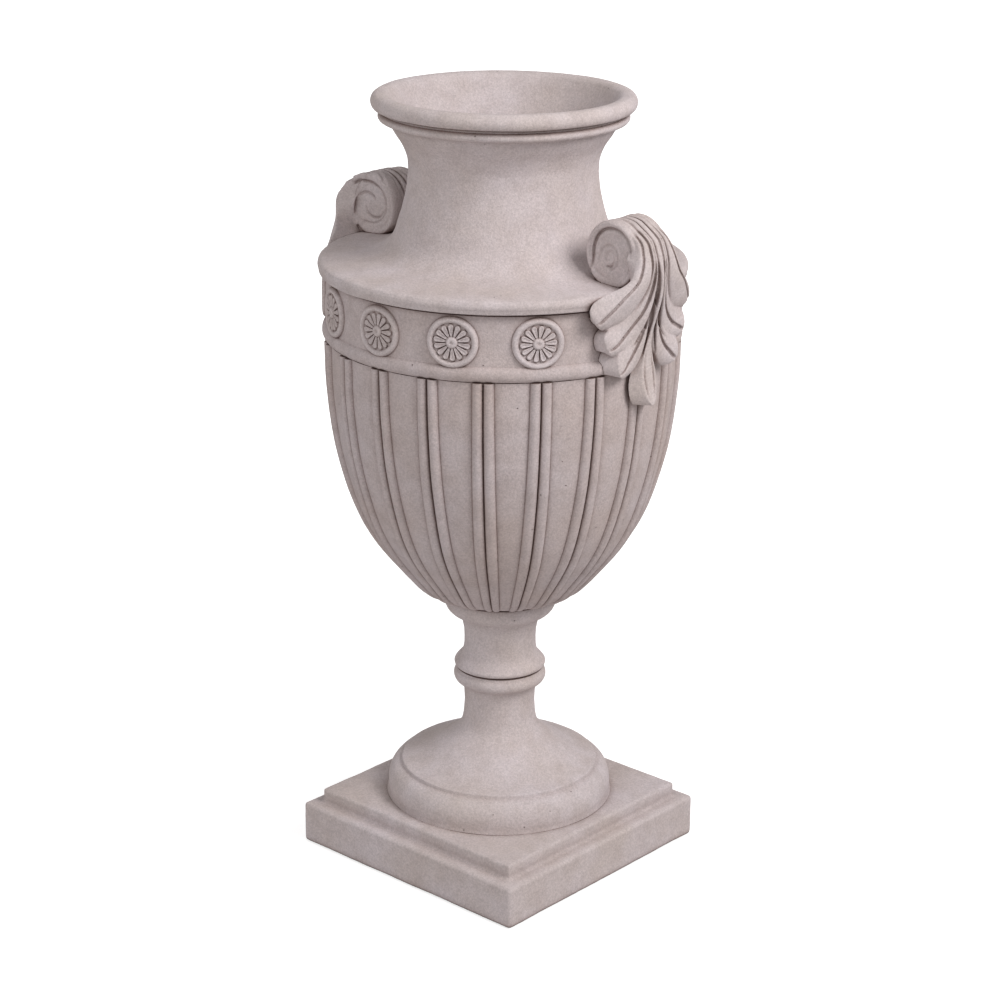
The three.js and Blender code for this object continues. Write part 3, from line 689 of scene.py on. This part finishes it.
def neck_outline():
    flare = [(0.2, 118), (1.2, 128), (6.6, 142), (14.5, 154), (19.8, 163.2), (21.6, 166.6)]
    sweep = [(204.8, 13.2), (202, 14.8), (194, 15.8), (176, 17), (157, 19), (142, 22.8), (130, 29.6), (121.5, 41),
             (115.6, 59), (111.2, 74), (107.2, 92), (105, 112)]
    return raised(
        [(SHOULDER_R - 3.5, 0), (SHOULDER_R - 1.9, 0.5), (SHOULDER_R - 1.2, 1.6)]
        + arc(SHOULDER_R - 5, 8.6, 5, 6.2, -42, 44, 10)
        + spline(sweep, 40)
        + spline([(NECK_R + r, z) for r, z in flare], 18)
        + arc(NECK_R + 26.6, 172.6, 6.8, 5.2, -76, 62, 10)
        + [(NECK_R + 30.4, 178.5), (NECK_R + 30.0, 179.7), (NECK_R + 32.6, 180.7)]
        + arc(RIM_R - 9, 189, 9, 9.2, -52, 90, 14),
        NECK_Z)


def make_neck():
    lip = [(RIM_R - 13, RIM_Z - 0.1), (RIM_R - 17.5, RIM_Z - 1.2), (RIM_R - 21, RIM_Z - 4.5)]
    throat = [(16, 184), (4, 163), (-12, 137), (-19, 108), (-16, 82), (-5, 58), (12, 31), (34, 14), (54, 7)]
    inside = spline([(NECK_R + r, NECK_Z + z) for r, z in throat], 26)
    seat = [(SEAT_R - 10, NECK_Z + 6), (SEAT_R - 10, NECK_Z - 15), (SEAT_R - 0.6, NECK_Z - 15),
            (SEAT_R - 0.6, NECK_Z)]
    neck = turned("neck_stone", neck_outline() + lip + inside + seat, 240)
    weathered(neck, 41)
    smooth(neck, 50)
    dress(neck, STONE, "cast_stone", "neck")


# ---------------------------------------------------------------- handles

# Radius of the ribbed leaf round the roll, by degrees: it winds outwards towards its fall
WINDING = [(245, 33.6), (205, 34.4), (172, 34.8), (140, 35.3), (112, 36), (86, 37), (61, 38.5), (36, 39.4), (12, 42)]
RIB_PROUD = 2.6
ROLL_WALL = 9  # how deep the leaf reaches into the roll, in millimetres


def on_roll(degrees, across, sunk=0.0):
    """A place on the leaf where it lies on the roll, domed across"""
    radius = float(np.interp(degrees, *zip(*WINDING[::-1]))) - 2.5 * (across / 26.3) ** 2 - sunk
    a = math.radians(degrees)
    return (ROLL_X + 0.96 * radius * math.cos(a), across, ROLL_Z + radius * math.sin(a))


def over_roll(front, neckward, middle_sunk):
    """Rows of a pair of ribs over the roll, from the neck to the front; at the neck the pair is one broad rib"""
    rows = []
    for degrees in range(245, 35, -15):
        share = min(1, max(0, (degrees - 95) / 45))
        outer, middle, inner = [f + (n - f) * share for f, n in zip(front, neckward)]
        rows.append((on_roll(degrees, outer, RIB_PROUD), on_roll(degrees, middle, middle_sunk),
                     on_roll(degrees, inner, RIB_PROUD), ROLL_WALL))
    return rows


# Lobes on the +Y side. gap is how deep the cut to the next lobe is and the height at which it ends; lift is how
# far the two ribs stand up, as a share of their width; wall and under are the ways that the walls behind the outer
# and the inner edge run. Each row gives the outer edge, the groove, the inner edge and the wall's depth
TOP_LOBE = dict(
    gap=(2.2, 690), ribbed_roll=True, lift=(0.14, 0.1), wall=(-0.6, -0.75, -0.35), under=(-0.88, -0.25, 0.4),
    rows=over_roll((26.3, 19.6, 12.8), (26.3, 25.3, 14.5), RIB_PROUD) + [
    ((209.5, 25.8, 768), (212.6, 21.2, 769), (213.6, 12.8, 769.5), 12),
    ((215.2, 29, 758.7), (218.2, 23.8, 759), (219.3, 13, 758), 14),
    ((217.5, 32.5, 749), (221.4, 26.7, 748), (222.5, 13.3, 745), 16),
    ((217, 39.5, 735), (222.5, 33.3, 733), (222, 14.6, 729), 18),
    ((212.5, 47.5, 727.5), (221.2, 42, 724), (218.5, 19.5, 714.3), 20),
    ((205.5, 57.7, 722.2), (218.2, 50.5, 716.5), (213.2, 28.7, 699.5), 24),
    ((200.5, 67.8, 717.5), (213.2, 60.3, 705.8), (208, 39, 688.1), 25),
    ((196.5, 77.4, 712), (208.4, 67.9, 697.5), (204, 48.5, 683.4), 25),
    ((195.4, 82, 704.6), (204.5, 73.5, 691.5), (200.4, 57, 680.4), 25),
    ((196.3, 81.2, 697.5), (202, 76, 688.8), (199.6, 66, 681), 25),
    ((197.5, 78.2, 691.4), (200, 75.6, 687.6), (199, 72, 684.5), 25)])
SECOND_LOBE = dict(
    gap=(5.5, 655), ribbed_roll=False, lift=(0.12, 0.1), wall=(-0.95, -0.15, -0.2), under=(-0.95, 0, 0.25),
    rows=over_roll((12.8, 8.7, 4.6), (14.5, 13.6, 4.5), 0) + [
    ((213.6, 12.8, 769.5), (215.6, 8.7, 770), (214.4, 4.6, 770), 12),
    ((219.3, 13, 758), (221.2, 8.7, 758), (220.4, 4.6, 758), 14),
    ((222.5, 13.3, 745), (223.6, 8.8, 745), (224.2, 4.5, 745), 16),
    ((220, 17, 730), (222.6, 9.0, 731), (226, 4.3, 731), 18),
    ((216, 23, 716.5), (220.8, 11, 717.5), (224.6, 4.9, 717.7), 20),
    ((213, 29, 707.5), (218.4, 14.6, 705), (221.8, 6.5, 702.7), 22),
    ((209.5, 36, 699.5), (215.4, 20.2, 692.7), (216.5, 9.6, 684.8), 22),
    ((206, 45, 692), (211.8, 28.9, 682.3), (211.3, 15, 670.8), 22),
    ((204, 55, 685.5), (209.5, 40, 671.6), (207.2, 26.1, 658.4), 22),
    ((203.6, 64, 679.5), (210, 50, 665.3), (205.4, 38, 652.2), 22),
    ((203.8, 67.4, 672.5), (209.4, 57.5, 661.2), (204.2, 50, 650.2), 22),
    ((205.4, 66.6, 664.5), (208.2, 61.6, 659.2), (205.6, 57, 651.8), 22),
    ((206.8, 64.8, 660), (207.8, 62.8, 658), (207.2, 61, 655.4), 22)])
THIRD_LOBE = dict(
    gap=(4.5, 640), ribbed_roll=True, lift=(0.1, 0.1), wall=(-1, 0.38, 0), under=(-1, -0.3, 0.15),
    rows=[
    ((213, 11, 735), (214, 7.5, 733), (215, 4.5, 731), 14),
    ((213, 13, 716), (216.4, 7.5, 713), (218, 4.6, 709), 18),
    ((211, 17, 698), (215, 10, 691), (216, 4.9, 687), 22),
    ((208.6, 24, 683.5), (212.6, 13.2, 673.5), (213.2, 6, 668), 22),
    ((206.5, 32, 672), (211, 19, 660), (211, 8.8, 653), 22),
    ((206, 41, 663), (210, 27, 648.5), (208.5, 13.8, 640), 22),
    ((207.5, 48, 655), (210.3, 35.5, 640), (206.3, 22, 629.2), 22),
    ((209.6, 51.2, 645), (210.8, 42, 633.6), (203.8, 31.5, 623.2), 22),
    ((210.6, 51, 636), (211, 47, 630), (207.5, 41, 624.4), 22),
    ((211, 48.8, 630.4), (211, 47.4, 628.6), (210, 45.6, 626.8), 22)])
MIDDLE_LOBE = dict(rows=[(e[0], a[1], e[2], 9) for e, a in zip(
    [(on_roll(d, 4.6, RIB_PROUD), 0, on_roll(d, -4.6, RIB_PROUD)) for d in range(245, 35, -15)],
    [(0, on_roll(d, 0), 0) for d in range(245, 35, -15)])] + [
    ((x, half, z), (crest, 0, z), (x, -half, z), depth) for x, half, crest, z, depth in (
        (214.4, 4.6, 215.9, 770, 12), (220.4, 4.6, 222, 758, 14), (224.2, 4.5, 225.8, 745, 16),
        (226, 4.2, 228, 731, 18), (225.2, 3.4, 227.3, 717, 20), (222.6, 2.9, 224.6, 703, 20),
        (217.4, 3, 219.6, 686, 21), (212.4, 4, 214.6, 670, 23), (209.2, 6, 211.6, 655, 25),
        (208.4, 9, 210.6, 640, 27), (209.8, 11.8, 211.8, 627, 28), (211.8, 12.2, 213.4, 615, 28),
        (214.6, 10, 215.8, 603, 28), (217, 6.8, 217.8, 595, 28), (218.2, 3.4, 218.6, 590, 28),
        (218.7, 1.2, 218.8, 588, 28))])
ROW_STEPS = 5
RIB_STEPS = 14
GROOVE_CUT = 1.7  # deeper than the ribs' feet, in millimetres


def unit(vector):
    return vector / (np.linalg.norm(vector) + 1e-9)


def lobe_lines(shape):
    """The rows of a lobe, filled in smoothly: places, the run of the groove and the outward side"""
    flat = [tuple(outer) + tuple(groove) + tuple(inner) + (depth,) for outer, groove, inner, depth in shape["rows"]]
    lines = np.array(spline(flat, ROW_STEPS * (len(flat) - 1)))
    out = []
    for i, line in enumerate(lines):
        edge, groove, inner = line[:3], line[3:6], line[6:9]
        along = lines[min(i + 1, len(lines) - 1)][3:6] - lines[max(i - 1, 0)][3:6]
        face = unit(np.cross(along, inner - edge))
        from_roll = np.array([groove[0] - ROLL_X, 0, groove[2] - ROLL_Z])
        towards = from_roll if groove[2] > ROLL_Z - 6 else np.array([1.0, 0, 0])
        if face @ towards < 0:
            face = -face
        fall = min(1, max(0, (ROLL_Z - 2 - groove[2]) / 20))
        ending = max(0, 1 - (len(lines) - 1 - i) / (2.2 * ROW_STEPS))
        out.append((edge, groove, inner, line[9], face, unit(-from_roll), fall, ending))
    return out


def lobe_loops(shape, side):
    """Sections of a lobe: a rounded rib on each side of its groove, and the walls behind both edges"""
    loops = []
    for edge, groove, inner, depth, face, to_roll, fall, ending in lobe_lines(shape):
        loop = []
        cut_here = 1 if shape["ribbed_roll"] else fall
        for start, end, share in ((edge, groove, shape["lift"][0]), (groove, inner, shape["lift"][1])):
            width = np.linalg.norm(end - start)
            for k in range(RIB_STEPS):
                u = 0.5 - 0.5 * math.cos(math.pi * k / RIB_STEPS)
                lift = min(2.6, share * width + 1.0) * math.sin(math.pi * u) ** 0.55
                near, far = (1 - fall, cut_here) if start is edge else (cut_here, 1 - fall)
                notch = near * math.exp(-(u * width / 1.1) ** 2) + far * math.exp(-((1 - u) * width / 1.1) ** 2)
                loop.append(start + (end - start) * u + face * (lift - GROOVE_CUT * notch) * (1 - ending))
        loop.append(inner)
        loop.append(inner + depth * (to_roll * (1 - fall) + np.array(shape["under"]) * fall))
        loop.append(edge + depth * (to_roll * (1 - fall) + np.array(shape["wall"]) * fall))
        loops.append([(p[0], side * p[1], p[2]) for p in loop])
    return loops


def middle_loops():
    """Sections of the middle lobe: a round rib that widens into a blunt tongue with two grooves"""
    loops = []
    for edge, crest, inner, depth, face, to_roll, fall, ending in lobe_lines(MIDDLE_LOBE):
        width = np.linalg.norm(inner - edge)
        wide = min(1, max(0, (width - 9) / 14))
        loop = []
        for k in range(2 * RIB_STEPS + 1):
            u = k / RIB_STEPS - 1
            dome = math.sqrt(max(0, 1 - abs(u) ** (2 + 2 * wide)))
            groove = -2.4 * math.exp(-((abs(u) - 0.58) / 0.1) ** 2) * wide * (1 - ending)
            centre = (edge + inner) / 2
            loop.append(centre + (inner - edge) / 2 * u + (crest - centre) * dome + face * groove)
        flare = 0.8 - 0.15 * min(1, max(0, (610 - crest[2]) / 20))
        for point, side in ((inner, -1), (edge, 1)):
            loop.append(point + depth * (to_roll * (1 - fall) + np.array([-1, side * flare, 0]) * fall))
        loops.append([tuple(p) for p in loop])
    return loops


DISC_X, DISC_Z = 35.6, (36.8, 39)  # half width of the volute's face, and its reach up and down
EYE_SHIFT = (-2, -4.7)

# Grooves of the two kinds of volute: degrees round the eye, distance from it and depth
SNAIL = [
    [(215, 31, 1), (200, 25, 2.6), (178, 22.6, 3.4), (150, 24.6, 3.5), (120, 29, 3.5), (90, 32.5, 3.3), (60, 34, 2.8),
     (30, 32, 2.2), (0, 29.6, 1.6), (-30, 28.6, 0.9), (-50, 28.6, 0.3)],
    [(200, 16, 0.7), (170, 14.6, 1.3), (130, 14, 1.5), (90, 14, 1.4), (50, 12, 1.4), (0, 10.5, 1.4), (-50, 11.5, 1.5),
     (-85, 12.6, 1.6)],
    [(210, 6, 1.1), (145, 6, 1.1), (90, 7.4, 1.2), (45, 6.9, 1.2), (0, 6, 1.2), (-55, 7.3, 1.7), (-85, 9.3, 2.6),
     (-110, 10, 2.2)]]
HOOKS = [
    [(134, 36, 3), (120, 34.5, 3.6), (106, 31.7, 3.4), (83, 29.5, 2.9), (58, 27.3, 2.5), (36, 26, 2.1),
     (13, 23.6, 1.7), (-16, 20.4, 1.5), (-60, 17.8, 1.4), (-108, 18.6, 1.4), (-140, 24, 1.2), (-161, 26, 0.9),
     (-183, 27.5, 0.7), (-205, 28.7, 0.4)],
    [(148, 23.3, 1.4), (132, 21.3, 2.2), (117, 19.4, 2.4), (96, 16.5, 2.4), (75, 13.8, 2.2), (60, 11.3, 1.4)],
    [(178, 9.1, 1.2), (221, 8.8, 2), (263, 9.5, 2.4), (303, 12.4, 2.4), (331, 16, 1.8), (354, 18.6, 1.1)]]
VOLUTE_RINGS, VOLUTE_STEPS = 84, 216


def volute_relief(share):
    """Depth under the rim's crest of a volute's face, at a share of the radius: a rim round a shallow dish"""
    if share > 0.885:
        return -5.6 * ((share - 0.885) / 0.115) ** 2.6
    return -1.9 * min(1, (0.885 - share) / 0.22) ** 1.5


def volute_grooves(kind, side):
    """The grooves of a volute's face as runs of places"""
    runs = []
    for groove in kind:
        run = []
        for degrees, reach, depth in spline(groove, 6 * len(groove)):
            a = math.radians(degrees)
            x = EYE_SHIFT[0] + reach * math.cos(a)
            run.append((ROLL_X - side * x if side > 0 else ROLL_X + x, side * (ROLL_HALF - 1.5),
                        ROLL_Z + EYE_SHIFT[1] + reach * math.sin(a), depth, 1.25 + 0.12 * depth))
        runs.append(run)
    return runs


def leaf_grooves(shape, side):
    """The grooves along a lobe and, deeper, between it and the next"""
    gap, low = shape["gap"]
    grooves, gaps = [], []
    for edge, groove, inner, *_, fall, ending in lobe_lines(shape):
        tip = min(1, np.linalg.norm(edge - inner) / 16) if fall == 1 else 1
        for run, place, deep in ((grooves, groove, (1.0 + 0.4 * fall) * tip * (1 - ending)),
                                 (gaps, inner, (1.3 + (gap - 1.3) * fall) * min(1, max(0, (inner[2] - low) / 18)))):
            run.append((place[0], side * place[1], place[2], deep, 1.25 + 0.2 * fall + 0.1 * deep))
    return [grooves, gaps]


def volute_loops(side):
    """Rings of a volute's face from the eye to the rim, then round its back"""
    loops = []
    shares = [0.004] + [(k + 1) / VOLUTE_RINGS for k in range(VOLUTE_RINGS)]
    for share in shares + [0.995, 0.9]:
        back = len(loops) > VOLUTE_RINGS
        loop = []
        for k in range(VOLUTE_STEPS):
            turn = 360 * k / VOLUTE_STEPS
            c, s = math.cos(math.radians(turn)), math.sin(math.radians(turn))
            y = ROLL_HALF + (-15 if back else volute_relief(share))
            reach = DISC_Z[0] if s > 0 else DISC_Z[1]
            loop.append((ROLL_X + DISC_X * share * c + EYE_SHIFT[0] * (1 - share), side * y,
                         ROLL_Z + reach * share * s + EYE_SHIFT[1] * (1 - share)))
        loops.append(loop)
    return loops


def body_envelope():
    """Everything that the handle stands against, a hair's breadth larger"""
    lower = [(0, BOWL_Z)] + [(r + REED_H + 1, z) for r, z in bowl_curve(30)]
    middle = [(r + 0.5, z) for r, z in arc(BOWL_R - 2.3, BEAD_Z + 9.5, 8, 9.5, -60, 62, 10)]
    middle += [(BOWL_R + 1.7, BEAD_Z + 20.5), (BOWL_R + 1.2, BOWL_TOP)]
    upper = [(r + 0.5, z) for r, z in neck_outline()]
    return turned("envelope", lower + middle + upper + [(0, RIM_Z)], 240)


def cheek_loops():
    """The full side of the left leaf, flush with its volute"""
    side = [(184, 788), (193, 785.8), (202, 781), (211.5, 772.3), (217, 763), (220.5, 752), (223, 741), (225, 730),
            (226, 719), (219, 711), (206, 712), (201, 725), (205, 740), (206, 752), (203, 764), (196, 775),
            (186, 782)]
    return [[(212 + (x - 212) * k, y, 745 + (z - 745) * k) for x, z in side]
            for y, k in ((8, 1), (25.4, 1), (27, 0.99), (28.2, 0.965))]


def make_handle(name, volute_kind, full_cheek):
    parts = [lofted("lobe_middle", middle_loops())]
    grooves = []
    if full_cheek:
        parts.append(lofted("cheek", cheek_loops()))
    for side in (1, -1):
        for place, shape in (("top", TOP_LOBE), ("second", SECOND_LOBE), ("third", THIRD_LOBE)):
            parts.append(lofted(f"lobe_{place}", lobe_loops(shape, side)))
            grooves += leaf_grooves(shape, side)
        parts.append(lofted("volute", volute_loops(side)))
        grooves += volute_grooves(volute_kind, side)
    flank = [(696, 25, 205), (716, 25, 210), (734, 24, 214), (758, 21, 212)]
    loops = []
    for z, half, out in spline(flank, 12):
        corners = [(160, -half), (out - 6, -half), (out, 5 - half), (out, half - 5), (out - 6, half), (160, half)]
        loops.append([(x, y, z) for x, y in corners])
    parts.append(lofted("flank", loops))
    bpy.ops.mesh.primitive_cylinder_add(vertices=96, radius=32.5 * MM, depth=2 * (ROLL_HALF - 8) * MM,
                                        location=(ROLL_X * MM, 0, ROLL_Z * MM), rotation=(math.pi / 2, 0, 0))
    parts.append(bpy.context.object)
    for part in parts:
        deselect()
        part.select_set(True)
        bpy.context.view_layer.objects.active = part
        bpy.ops.object.transform_apply(location=True, rotation=True, scale=True)
    handle = join(parts)
    handle.name = name
    apply_modifier(handle, "REMESH", mode="VOXEL", voxel_size=0.0008, use_smooth_shade=True)
    carved(handle, grooves)
    if full_cheek:
        move_corners(handle, fuller_front(corners_of(handle)))
    cut(handle, body_envelope())
    weathered(handle, 67, slow=0.25, quick=0.15)
    smooth(handle)
    return handle


def fuller_front(points):
    """The left leaf was pressed fuller where it leaves the roll, on the side of the picture"""
    x, y, z = points.T / MM
    radius = np.hypot(x - ROLL_X, z - ROLL_Z)
    fuller = np.clip((radius - 35.5) / 7, 0, 1) * np.clip((x - 180) / 16, 0, 1) * np.clip((y - 6) / 18, 0, 1)
    fuller *= np.exp(-(np.clip(np.abs(z - 767) - 12, 0, None) / 22) ** 2)
    return points + np.column_stack([8.5 * fuller, 4.0 * fuller, 2 * fuller]) * MM


def make_handles():
    right = make_handle("handle_stone_right", SNAIL, False)
    left = make_handle("handle_stone_left", HOOKS, True)
    move_corners(left, corners_of(left) * (-1, -1, 1))
    dress(right, STONE, "cast_stone", "handle_right")
    dress(left, STONE, "cast_stone", "handle_left")


# ---------------------------------------------------------------- build

def finish_hidden_pieces():
    """Beds, pins and the tie rod keep their solids and get their own finish"""
    for name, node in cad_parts.items():
        if name.endswith("mortar_bed"):
            material = MORTAR
        elif name.startswith(("dowel", "tie")):
            material = STEEL
        else:
            material = STONE
        node.data.materials.clear()
        node.data.materials.append(material)


deselect()
finish_hidden_pieces()
make_plinth()
make_stem()
make_bowl()
make_neck()
number = 1
for side in (-90, 90):
    for place in range(ROSETTES_PER_SIDE):
        make_rosette(number, side + (place - (ROSETTES_PER_SIDE - 1) / 2) * ROSETTE_SPACING)
        number += 1
make_handles()
